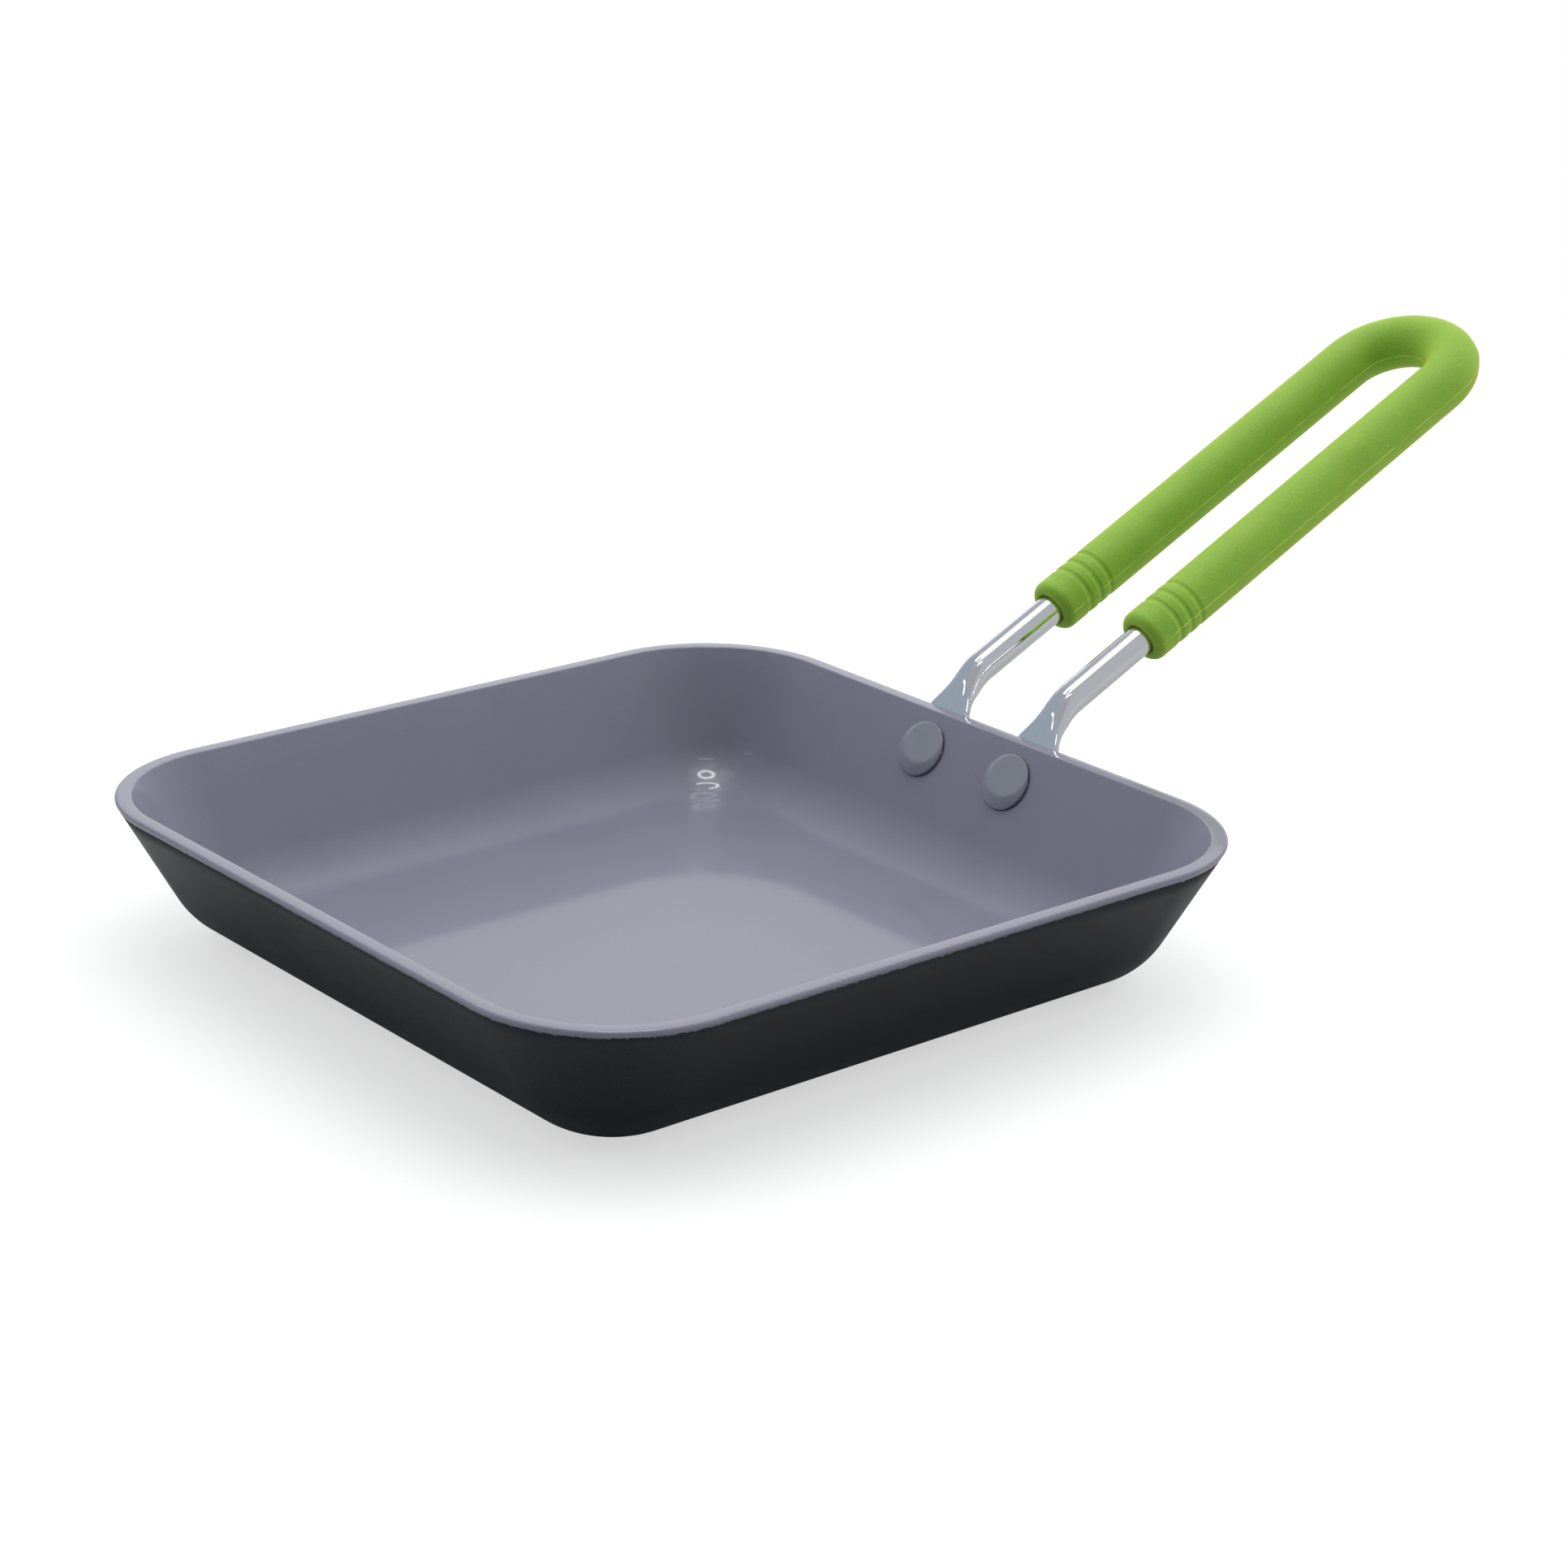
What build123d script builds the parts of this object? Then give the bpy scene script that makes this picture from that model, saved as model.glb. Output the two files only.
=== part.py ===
from build123d import *
import os
from math import cos, radians, sin, sqrt, tan

# Square egg pan for one portion: a pressed aluminium tray with sloping walls, a grey ceramic lining,
# and one long steel tube bent into a loop, flattened at both ends, riveted on and gripped by a soft sleeve.
# The origin is the centre of the underside, +Y points along the handle and +Z is up. Lengths are in mm.

# Pan, pressed from one sheet. The bend radius is that of the outer surface.
rim_side = 127.0
rim_corner_radius = 22.8
pan_height = 22.4
wall_angle = 61.0
base_bend_radius = 14.0
sheet_thickness = 2.3
rim_outer_round = 0.4
rim_inner_round = 0.35

# Ceramic lining inside the pan, which laps over the rim
lining_thickness = 0.2
lining_lap = 0.9

# Handle tube. The leg runs from the corner of the neck bend to the centre of the end loop.
# Above the rim its flattened end narrows and grows round, on its lower side first and later on top.
tube_diameter = 4.85
tube_wall = 0.5
leg_spacing = 20.05
leg_length = 94.0
handle_slope = 24.95
neck_bend_radius = 13.85
neck_spread = 8.1
neck_narrowing = 2.4
neck_round_below = 5.2
neck_round_above = 9.2
tab_slit = 0.1
tab_width = 8.55
tab_below_rivet = 4.6
tab_corner_radius = 2.8

# Grip sleeve on the loop. Its leg runs from the centre of the end loop to the mouth.
grip_diameter = 8.65
grip_leg_length = 73.35
grip_clearance = 0.1
grip_lip_round = 1.3
groove_count = 3
groove_offset = 5.0
groove_pitch = 2.4
groove_depth = 0.2
groove_width = 1.35
seam_height = 0.12
seam_thickness = 0.3

# Rivets, with low domed heads inside the pan, pressed flat a little askew, and set tails outside.
# The face leans up the wall, turned towards +X.
rivet_spacing = 19.3
rivet_below_rim = 6.6
rivet_head_diameter = 9.0
rivet_crown_height = 1.65
rivet_edge_height = 0.45
rivet_face_diameter = 6.9
rivet_face_tilt = 8.0
rivet_face_turn = 29.0
rivet_shank_diameter = 3.6
rivet_hole_clearance = 0.05
rivet_tail_diameter = 6.2
rivet_tail_height = 1.3
rivet_tail_round = 0.6

# Extra length of a cutting solid past the surface that it leaves
cut_overrun = 1.0

# Directions and sizes that follow from those above. The sheet's sharp edge lies outside the rounded rim.
sharp_side = rim_side + 2 * rim_outer_round * (1 / tan(radians(wall_angle / 2)) - 1)
wall_up = Vector(0, cos(radians(wall_angle)), sin(radians(wall_angle)))
wall_out = Vector(0, sin(radians(wall_angle)), -cos(radians(wall_angle)))
handle_along = Vector(0, cos(radians(handle_slope)), sin(radians(handle_slope)))
tab_thickness = 2 * tube_wall + tab_slit
leg_x = leg_spacing / 2
rivet_x = rivet_spacing / 2
neck_turn = wall_angle - handle_slope
neck_tangent = neck_bend_radius * tan(radians(neck_turn / 2))
neck_arc = neck_bend_radius * radians(neck_turn)
rivet_drop = rivet_below_rim / sin(radians(wall_angle))
rim_edge = Vector(0, sharp_side / 2, pan_height)
tab_centre = rim_edge + wall_out * (tab_thickness / 2)
neck_corner = tab_centre + wall_up * neck_tangent
loop_centre = neck_corner + handle_along * leg_length

os.makedirs("parts", exist_ok=True)


def tray_form(depth):
    """Solid tray whose walls and floor lie the given depth inside the pan's outer surface."""
    shift = depth / sin(radians(wall_angle))
    side = sharp_side - 2 * shift
    with BuildPart() as form:
        with BuildSketch(Plane.XY.offset(pan_height)):
            RectangleRounded(side, side, rim_corner_radius - shift)
        extrude(amount=pan_height - depth, dir=(0, 0, -1), taper=90 - wall_angle)
        fillet(form.edges().group_by(Axis.Z)[0], radius=base_bend_radius - depth)
    return form.part


def slab(low, high):
    """Block that is wider than the pan, between two heights."""
    side = sharp_side + 2 * cut_overrun
    with BuildPart() as block:
        with BuildSketch(Plane.XY.offset(low)):
            Rectangle(side, side)
        extrude(amount=high - low)
    return block.part


def rivet_plane(x, depth):
    """Plane on the handle wall at a rivet's axis, at a depth below the outer surface, facing out."""
    point = rim_edge - wall_up * rivet_drop - wall_out * depth + Vector(x, 0, 0)
    return Plane(origin=point, x_dir=(1, 0, 0), z_dir=wall_out)


def rivet_hole(x):
    """Drill through the tab, the wall and the lining."""
    with BuildPart() as drill:
        with BuildSketch(rivet_plane(x, sheet_thickness + cut_overrun)):
            Circle(rivet_shank_diameter / 2 + rivet_hole_clearance)
        extrude(amount=sheet_thickness + tab_thickness + 2 * cut_overrun)
    return drill.part


# Outer and inner shapes of the sheet with its lining, and the rivet holes through it
outer_form = tray_form(0)
inner_form = tray_form(sheet_thickness)
drills = [rivet_hole(x) for x in (-rivet_x, rivet_x)]

with BuildPart() as tray:
    add(outer_form)
    add(inner_form, mode=Mode.SUBTRACT)
    fillet(tray.faces().sort_by(Axis.Z)[-1].outer_wire().edges(), radius=rim_outer_round)
    fillet(tray.faces().sort_by(Axis.Z)[-1].inner_wires()[0].edges(), radius=rim_inner_round)
    for drill in drills:
        add(drill, mode=Mode.SUBTRACT)

# The bare sheet: everything under the lining, with a shallow step where the lining laps down outside
with BuildPart() as sheet_form:
    add(outer_form)
    add(slab(pan_height - lining_lap, pan_height + cut_overrun), mode=Mode.SUBTRACT)
    add(tray_form(lining_thickness))
    add(slab(pan_height - lining_thickness, pan_height + cut_overrun), mode=Mode.SUBTRACT)
    lip_edges = sheet_form.faces().sort_by(Axis.Z)[-1].outer_wire().edges()
    fillet(lip_edges, radius=rim_outer_round - lining_thickness)
    add(tray_form(sheet_thickness - lining_thickness), mode=Mode.SUBTRACT)

with BuildPart() as pan_body:
    add(tray.part)
    add(sheet_form.part, mode=Mode.INTERSECT)
pan_body.part.label = "pan_body"
export_step(pan_body.part, "parts/pan_body.step")

with BuildPart() as interior_lining:
    add(tray.part)
    add(sheet_form.part, mode=Mode.SUBTRACT)
interior_lining.part.label = "interior_lining"
export_step(interior_lining.part, "parts/interior_lining.step")


def neck_plane(distance):
    """Plane across the right leg's centre line, at a distance along it from the height of the rim."""
    across = Vector(leg_x, 0, 0)
    slope = radians(wall_angle) - min(max(distance, 0), neck_arc) / neck_bend_radius
    heading = Vector(0, cos(slope), sin(slope))
    if distance <= 0:
        point = tab_centre + wall_up * distance
    elif distance >= neck_arc:
        point = neck_corner + handle_along * (neck_tangent + distance - neck_arc)
    else:
        bend_centre = tab_centre + wall_out * neck_bend_radius
        point = bend_centre - Vector(0, sin(slope), -cos(slope)) * neck_bend_radius
    return Plane(origin=point + across, x_dir=(1, 0, 0), z_dir=heading)


def oval(plane, width, height, shoulder):
    """Four-arc oval face. The crowns meet the side arcs where the normal rises by the shoulder angle.

    Its arcs stay separate edges, even on one circle, because a loft needs the same number in every section.
    """
    up = sin(radians(shoulder))
    out = cos(radians(shoulder))
    if shoulder < 90:
        lean = (1 - up) / out
        side_radius = (height - lean * width) / 2 / (up - lean * (1 - out))
    else:
        side_radius = height / 2
    join_x = width / 2 - side_radius * (1 - out)
    join_y = side_radius * up
    edges = []
    for turn in (1, -1):
        right = plane.from_local_coords(Vector(turn * join_x, turn * join_y))
        crown = plane.from_local_coords(Vector(0, turn * height / 2))
        left = plane.from_local_coords(Vector(-turn * join_x, turn * join_y))
        side = plane.from_local_coords(Vector(-turn * width / 2, 0))
        low_left = plane.from_local_coords(Vector(-turn * join_x, -turn * join_y))
        if shoulder < 90:
            edges.append(Edge.make_three_point_arc(right, crown, left))
        else:
            edges.append(Edge.make_line(right, left))
        edges.append(Edge.make_three_point_arc(left, side, low_left))
    return Face(Wire(edges))


def eased(distance, end):
    """Smooth step from 0 at the rim to 1 at a distance along the leg."""
    share = min(max(distance / end, 0), 1)
    return share * share * (3 - 2 * share)


def neck_section(distance, inset):
    """Section of the tube from its flat tab to its round leg, or of its bore with an inset.

    Flattening spreads the tube. Its width goes in quickly above the rim and its height grows more slowly.
    """
    narrowing = (1 - min(max(distance / neck_spread, 0), 1)) ** neck_narrowing
    width = tube_diameter + (tab_width - tube_diameter) * narrowing
    above = eased(distance, neck_round_above)
    below = eased(distance, neck_round_below)
    rounding = (above + below) / 2
    height = tab_thickness + (tube_diameter - tab_thickness) * rounding
    shift = (tube_diameter - tab_thickness) * (above - below) / 4
    plane = neck_plane(distance)
    plane.origin += plane.y_dir * shift
    return oval(plane, width - 2 * inset, height - 2 * inset, 90 - 45 * rounding)


def neck_form(inset):
    """Flattened end of the right leg, from its tab on the pan to where the tube is round."""
    steps = 10
    stations = [neck_round_above * step / steps for step in range(steps + 1)]
    tab_length = rivet_drop + tab_below_rivet
    with BuildPart() as form:
        loft(sections=[neck_section(station, inset) for station in stations])
        extrude(neck_section(0, inset), amount=tab_length, dir=-wall_up)
    return form.part


with BuildPart() as tab_corners:
    with BuildSketch(rivet_plane(leg_x, cut_overrun)):
        Rectangle(tab_width + 2 * cut_overrun, 2 * (tab_below_rivet + cut_overrun))
        RectangleRounded(tab_width, 2 * tab_below_rivet, tab_corner_radius, mode=Mode.SUBTRACT)
        with Locations((0, -(tab_below_rivet + cut_overrun) / 2)):
            Rectangle(tab_width + 2 * cut_overrun, tab_below_rivet + cut_overrun, mode=Mode.SUBTRACT)
    extrude(amount=tab_thickness + 2 * cut_overrun)

# Flattened end of the right leg, with its bore and its tab's corners rounded off
with BuildPart() as leg_end:
    add(neck_form(0))
    add(neck_form(tube_wall), mode=Mode.SUBTRACT)
    add(tab_corners.part, mode=Mode.SUBTRACT)


def loop_line(leg):
    """Centre line of the end loop, with straight legs of the given length towards the pan."""
    across = Plane(origin=loop_centre, x_dir=(1, 0, 0), z_dir=Vector(1, 0, 0).cross(handle_along))
    with BuildLine(across) as line:
        Line((leg_x, -leg), (leg_x, 0))
        CenterArc((0, 0), leg_x, 0, 180)
        Line((-leg_x, 0), (-leg_x, -leg))
    return line.line


def leg_plane(leg, x):
    """Plane across a leg, at a distance from the centre of the loop towards the pan."""
    point = loop_centre - handle_along * leg + Vector(x, 0, 0)
    return Plane(origin=point, x_dir=(1, 0, 0), z_dir=handle_along)


# Handle tube: the round loop, and a flattened end on each leg
round_leg = leg_length - neck_tangent - (neck_round_above - neck_arc)

with BuildPart() as handle_tube:
    with BuildSketch(leg_plane(round_leg, leg_x)):
        Circle(tube_diameter / 2)
        Circle(tube_diameter / 2 - tube_wall, mode=Mode.SUBTRACT)
    sweep(path=loop_line(round_leg))
    add(leg_end.part)
    add(leg_end.part.mirror(Plane.YZ))
    for drill in drills:
        add(drill, mode=Mode.SUBTRACT)
handle_tube.part.label = "handle_tube"
export_step(handle_tube.part, "parts/handle_tube.step")


def groove(leg, x):
    """Soft round-bottomed groove around the grip, at a distance from the centre of the loop."""
    groove_radius = (groove_width ** 2 / 4 + groove_depth ** 2) / (2 * groove_depth)
    axis_point = loop_centre - handle_along * leg + Vector(x, 0, 0)
    with BuildPart() as ring:
        with BuildSketch(Plane(origin=axis_point, x_dir=(1, 0, 0), z_dir=Vector(1, 0, 0).cross(handle_along))):
            with Locations((grip_diameter / 2 + groove_radius - groove_depth, 0)):
                Circle(groove_radius)
        revolve(axis=Axis(axis_point, handle_along))
    return ring.part


# Grip sleeve: a thick soft tube over the loop, with a moulding seam on its inner and outer side
grip_radius = grip_diameter / 2
seam_start = grip_leg_length - grip_lip_round

with BuildPart() as grip_bore:
    with BuildSketch(leg_plane(grip_leg_length, leg_x)):
        Circle(tube_diameter / 2 + grip_clearance)
    sweep(path=loop_line(grip_leg_length))

with BuildPart() as grip_sleeve:
    with BuildSketch(leg_plane(grip_leg_length, leg_x)):
        Circle(grip_radius)
    sweep(path=loop_line(grip_leg_length))
    mouths = grip_sleeve.faces().filter_by(GeomType.PLANE)
    fillet(mouths.edges(), radius=grip_lip_round)
    with BuildSketch(leg_plane(seam_start, leg_x)):
        Rectangle(grip_diameter + 2 * seam_height, seam_thickness)
    sweep(path=loop_line(seam_start))
    for number in range(groove_count):
        for x in (-leg_x, leg_x):
            add(groove(grip_leg_length - groove_offset - number * groove_pitch, x), mode=Mode.SUBTRACT)
    add(grip_bore.part, mode=Mode.SUBTRACT)
grip_sleeve.part.label = "grip_sleeve"
export_step(grip_sleeve.part, "parts/grip_sleeve.step")


def rivet(x):
    """Rivet through the wall and the tab, turned about its axis, with the face of its head pressed flat."""
    head_radius = rivet_head_diameter / 2
    face_radius = rivet_face_diameter / 2
    shank_radius = rivet_shank_diameter / 2
    tail_radius = rivet_tail_diameter / 2
    head_edge = -(sheet_thickness + rivet_edge_height)
    head_crown = -(sheet_thickness + rivet_crown_height)
    tail_top = tab_thickness + rivet_tail_height
    dome_rise = rivet_crown_height - rivet_edge_height
    dome_radius = (head_radius ** 2 + dome_rise ** 2) / (2 * dome_rise)
    half_way = head_radius / 2
    half_way_height = head_crown + dome_radius - sqrt(dome_radius ** 2 - half_way ** 2)
    wall_plane = rivet_plane(x, 0)
    axis = Axis(wall_plane.origin, wall_out)
    lean = wall_up * cos(radians(rivet_face_turn)) + Vector(sin(radians(rivet_face_turn)), 0, 0)
    face_normal = lean * sin(radians(rivet_face_tilt)) - wall_out * cos(radians(rivet_face_tilt))
    face_distance = sqrt(dome_radius ** 2 - face_radius ** 2)
    dome_centre = wall_plane.origin + wall_out * (head_crown + dome_radius)
    with BuildPart() as turned:
        with BuildSketch(Plane(origin=wall_plane.origin, x_dir=(1, 0, 0), z_dir=wall_up)):
            with BuildLine():
                ThreePointArc((0, head_crown), (half_way, half_way_height), (head_radius, head_edge))
                Polyline(
                    (head_radius, head_edge),
                    (head_radius, -sheet_thickness),
                    (shank_radius, -sheet_thickness),
                    (shank_radius, tab_thickness),
                    (tail_radius, tab_thickness),
                    (tail_radius, tail_top),
                    (0, tail_top),
                    (0, head_crown),
                )
            make_face()
        revolve(axis=axis)
        fillet(turned.edges().filter_by(GeomType.CIRCLE).sort_by(axis)[-1], radius=rivet_tail_round)
        split(bisect_by=Plane(origin=dome_centre + face_normal * face_distance, z_dir=face_normal), keep=Keep.BOTTOM)
    return turned.part


for name, x in (("rivet_left", -rivet_x), ("rivet_right", rivet_x)):
    rivet_part = rivet(x)
    rivet_part.label = name
    export_step(rivet_part, f"parts/{name}.step")
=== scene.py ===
from math import cos, pi, radians, sin, sqrt, tan

import bmesh
import bpy
from mathutils import Matrix, Vector, noise


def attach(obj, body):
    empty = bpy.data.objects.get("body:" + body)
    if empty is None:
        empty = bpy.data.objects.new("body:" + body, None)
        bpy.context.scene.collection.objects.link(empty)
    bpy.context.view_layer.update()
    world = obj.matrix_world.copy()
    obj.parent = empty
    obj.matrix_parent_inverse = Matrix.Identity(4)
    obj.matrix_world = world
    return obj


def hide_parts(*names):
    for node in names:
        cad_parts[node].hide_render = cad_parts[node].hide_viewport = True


# Looks of a small square egg pan with a looped tube handle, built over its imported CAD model.
# The pan's sizes are in millimetres, as in the part's own source, and its points become metres when made.

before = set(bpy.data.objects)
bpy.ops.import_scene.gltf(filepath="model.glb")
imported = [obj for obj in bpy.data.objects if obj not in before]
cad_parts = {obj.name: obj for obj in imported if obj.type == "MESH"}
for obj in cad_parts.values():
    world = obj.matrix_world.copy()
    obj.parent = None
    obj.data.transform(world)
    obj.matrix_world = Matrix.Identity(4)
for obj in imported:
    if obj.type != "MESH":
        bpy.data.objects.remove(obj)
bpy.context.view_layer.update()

MM = 0.001

# Pan, pressed from one sheet
rim_side = 127.0
rim_corner_radius = 22.8
pan_height = 22.4
wall_angle = radians(61.0)
base_bend_radius = 14.0
sheet_thickness = 2.3
rim_outer_round = 0.4
rim_inner_round = 0.35
lining_thickness = 0.2
lining_lap = 0.9

# Handle tube
tube_diameter = 4.85
tube_wall = 0.5
leg_spacing = 20.05
leg_length = 94.0
handle_slope = radians(24.95)
neck_bend_radius = 13.85
neck_spread = 8.1
neck_narrowing = 2.4
neck_round_below = 5.2
neck_round_above = 9.2
tab_slit = 0.1
tab_width = 8.55
tab_below_rivet = 4.6
tab_corner_radius = 2.8

# Grip sleeve
grip_diameter = 8.65
grip_leg_length = 73.35
grip_clearance = 0.1
grip_lip_round = 1.3
groove_count = 3
groove_offset = 5.0
groove_pitch = 2.4
groove_depth = 0.2
groove_width = 1.35
seam_height = 0.12

# Rivets
rivet_spacing = 19.3
rivet_below_rim = 6.6
rivet_head_diameter = 9.0
rivet_crown_height = 1.65
rivet_edge_height = 0.45
rivet_face_diameter = 6.9
rivet_face_tilt = radians(8.0)
rivet_face_turn = radians(29.0)
rivet_shank_diameter = 3.6
rivet_tail_diameter = 6.2
rivet_tail_height = 1.3
rivet_tail_round = 0.6

# Directions and sizes that follow from those above
sharp_side = rim_side + 2 * rim_outer_round * (1 / tan(wall_angle / 2) - 1)
corner_centre = sharp_side / 2 - rim_corner_radius
wall_up = Vector((0, cos(wall_angle), sin(wall_angle)))
wall_out = Vector((0, sin(wall_angle), -cos(wall_angle)))
handle_along = Vector((0, cos(handle_slope), sin(handle_slope)))
handle_top = Vector((0, -sin(handle_slope), cos(handle_slope)))
tab_thickness = 2 * tube_wall + tab_slit
leg_x = leg_spacing / 2
rivet_x = rivet_spacing / 2
neck_turn = wall_angle - handle_slope
neck_tangent = neck_bend_radius * tan(neck_turn / 2)
neck_arc = neck_bend_radius * neck_turn
rivet_drop = rivet_below_rim / sin(wall_angle)
rim_edge = Vector((0, sharp_side / 2, pan_height))
tab_centre = rim_edge + wall_out * (tab_thickness / 2)
neck_corner = tab_centre + wall_up * neck_tangent
loop_centre = neck_corner + handle_along * leg_length
across = Vector((1, 0, 0))


# Camera at the photograph's viewing angle
camera_azimuth = radians(49.8313)
camera_height_angle = radians(19.7468)
camera_roll = radians(-1.2555)
camera_distance = 526.156
camera_slide_x = -16.833
camera_slide_y = 3.664
camera_lens = 83.77
camera_sensor = 36
camera_clip_start = 0.01
camera_clip_end = 20


def add_camera():
    back = Vector((
        sin(camera_azimuth) * cos(camera_height_angle),
        -cos(camera_azimuth) * cos(camera_height_angle),
        sin(camera_height_angle),
    ))
    level_right = (-back).cross(Vector((0, 0, 1))).normalized()
    level_down = (-back).cross(level_right)
    right = level_right * cos(camera_roll) + level_down * sin(camera_roll)
    down = level_down * cos(camera_roll) - level_right * sin(camera_roll)
    place = back * camera_distance - right * camera_slide_x - down * camera_slide_y
    place += Vector((0, 0, pan_height))
    data = bpy.data.cameras.new("photo_camera")
    data.sensor_width = camera_sensor
    data.lens = camera_lens
    data.clip_start = camera_clip_start
    data.clip_end = camera_clip_end
    camera = bpy.data.objects.new("photo_camera", data)
    bpy.context.collection.objects.link(camera)
    turn = Matrix((right, -down, back)).transposed().to_4x4()
    camera.matrix_world = Matrix.Translation(place * MM) @ turn
    bpy.context.scene.camera = camera


add_camera()


# Mesh helpers

def add_object(name, mesh):
    """Object made from a finished mesh."""
    data = bpy.data.meshes.new(name)
    mesh.to_mesh(data)
    mesh.free()
    added = bpy.data.objects.new(name, data)
    bpy.context.collection.objects.link(added)
    return added


def make_piece(name, rings, looped=False):
    """Smooth skin over rings of points in mm, closed by end faces or, if looped, back to its first ring."""
    mesh = bmesh.new()
    rows = [[mesh.verts.new(point * MM) for point in ring] for ring in rings]
    if looped:
        rows.append(rows[0])
    count = len(rows[0])
    for low, high in zip(rows, rows[1:]):
        for number in range(count):
            after = (number + 1) % count
            mesh.faces.new((low[number], low[after], high[after], high[number]))
    if not looped:
        mesh.faces.new(list(reversed(rows[0])))
        mesh.faces.new(rows[-1])
    bmesh.ops.recalc_face_normals(mesh, faces=mesh.faces)
    for face in mesh.faces:
        face.smooth = True
    return add_object(name, mesh)


def arc(centre, radius, start, end, steps):
    """Points on a circle in a plane of two numbers, from one angle to another in radians."""
    turn = (end - start) / steps
    return [
        (centre[0] + radius * cos(start + turn * step), centre[1] + radius * sin(start + turn * step))
        for step in range(steps + 1)
    ]


outline_corner_steps = 28
outline_side_steps = 6


def square_ring(reach, height):
    """Rounded square at a height, where reach is the distance of its outline from the corner centres."""
    points = []
    for quarter in range(4):
        turn = quarter * pi / 2
        heading = Vector((cos(turn), sin(turn), 0))
        aside = Vector((-sin(turn), cos(turn), 0))
        centre = (heading + aside) * corner_centre
        for step in range(outline_corner_steps + 1):
            angle = pi / 2 * step / outline_corner_steps
            points.append(centre + (heading * cos(angle) + aside * sin(angle)) * reach)
        far = centre - heading * 2 * corner_centre + aside * reach
        near = centre + aside * reach
        points += [near.lerp(far, step / outline_side_steps) for step in range(1, outline_side_steps)]
    return [point + Vector((0, 0, height)) for point in points]


# Profile of the tray, as pairs of a distance from the corner centres and a height.
# Extra rows a short way from the lap's inner corner and the floors' edges keep the shading there crisp.
lining_bend_steps = 18
sheet_bend_steps = 12
outside_bend_steps = 20
wall_steps = 6
rim_inner_steps = 5
rim_outer_steps = 6
lap_edge = 0.1
flat_edge = 1.0


def wall_point(depth, height):
    """Point on the sloping wall at a depth below the outer surface."""
    reach = rim_corner_radius - depth / sin(wall_angle) - (pan_height - height) / tan(wall_angle)
    return (reach, height)


def bend_arc(depth, steps):
    """Bend between the floor and the wall at a depth below the outer surface, from the floor up."""
    radius = base_bend_radius - depth
    foot = wall_point(depth, depth)[0] - radius * tan(wall_angle / 2)
    return arc((foot, base_bend_radius), radius, -pi / 2, wall_angle - pi / 2, steps)


def slide(low, high, steps):
    """Points between two points of the profile, ends left out."""
    return [
        (low[0] + (high[0] - low[0]) * step / steps, low[1] + (high[1] - low[1]) * step / steps)
        for step in range(1, steps)
    ]


def corner_round(corner, before, after, radius, steps):
    """Round between two directions that leave a corner of the profile."""
    first = Vector((before[0] - corner[0], before[1] - corner[1])).normalized()
    second = Vector((after[0] - corner[0], after[1] - corner[1])).normalized()
    half = first.angle(second) / 2
    middle = (first + second).normalized()
    centre = Vector(corner) + middle * (radius / sin(half))
    start = Vector(corner) + first * (radius / tan(half)) - centre
    end = Vector(corner) + second * (radius / tan(half)) - centre
    swing = start.angle_signed(end)
    points = []
    for step in range(steps + 1):
        angle = -swing * step / steps
        turned_x = start.x * cos(angle) - start.y * sin(angle)
        turned_y = start.x * sin(angle) + start.y * cos(angle)
        points.append(tuple(centre + Vector((turned_x, turned_y))))
    return points


def skin(name, profile):
    """Piece with a rounded square outline all along a profile, closed by a flat floor at both ends."""
    first = (profile[0][0] - flat_edge, profile[0][1])
    last = (profile[-1][0] - flat_edge, profile[-1][1])
    return make_piece(name, [square_ring(reach, height) for reach, height in [first, *profile, last]])


# Lining: over the floor, up the inner wall, over the rim and a little down the outside
under_depth = sheet_thickness - lining_thickness
lap_height = pan_height - lining_lap
inner_floor = bend_arc(sheet_thickness, lining_bend_steps)
inner_top = wall_point(sheet_thickness, pan_height)
outer_top = wall_point(0, pan_height)
lap_foot = wall_point(0, lap_height)
lap_inner = wall_point(lining_thickness, lap_height)
under_top = pan_height - lining_thickness

lining_profile = [
    *inner_floor,
    *slide(inner_floor[-1], inner_top, wall_steps)[:-1],
    *corner_round(inner_top, inner_floor[-1], outer_top, rim_inner_round, rim_inner_steps),
    *corner_round(outer_top, inner_top, lap_foot, rim_outer_round, rim_outer_steps),
    lap_foot,
    lap_inner,
    wall_point(lining_thickness, under_top - lap_edge),
    wall_point(lining_thickness, under_top),
    wall_point(under_depth, under_top),
    *reversed(bend_arc(under_depth, lining_bend_steps)),
]
lining = skin("ceramic_lining", lining_profile)

# Pressed sheet: under the lining inside, and the dark coated outside
outer_bend = list(reversed(bend_arc(0, outside_bend_steps)))
shell_profile = [
    *bend_arc(under_depth, sheet_bend_steps),
    wall_point(under_depth, under_top),
    wall_point(lining_thickness, under_top),
    lap_inner,
    lap_foot,
    *slide(lap_foot, outer_bend[0], wall_steps),
    *outer_bend,
]
shell = skin("pressed_shell", shell_profile)


# Skin of the handle tube. Its first ring lies a little inside the rounded end of the tab.
# The shoulder angles of a section, in degrees, are where its side arcs meet its crowns.
tab_end = rivet_drop + tab_below_rivet
tab_first_mark = 0.02
tab_corner_steps = 8
tab_steps = 6
neck_steps = 44
leg_steps = 40
loop_steps = 40
oval_steps = 14
flat_crown_limit = 0.02
flat_shoulder = 90
round_shoulder = 45


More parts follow.
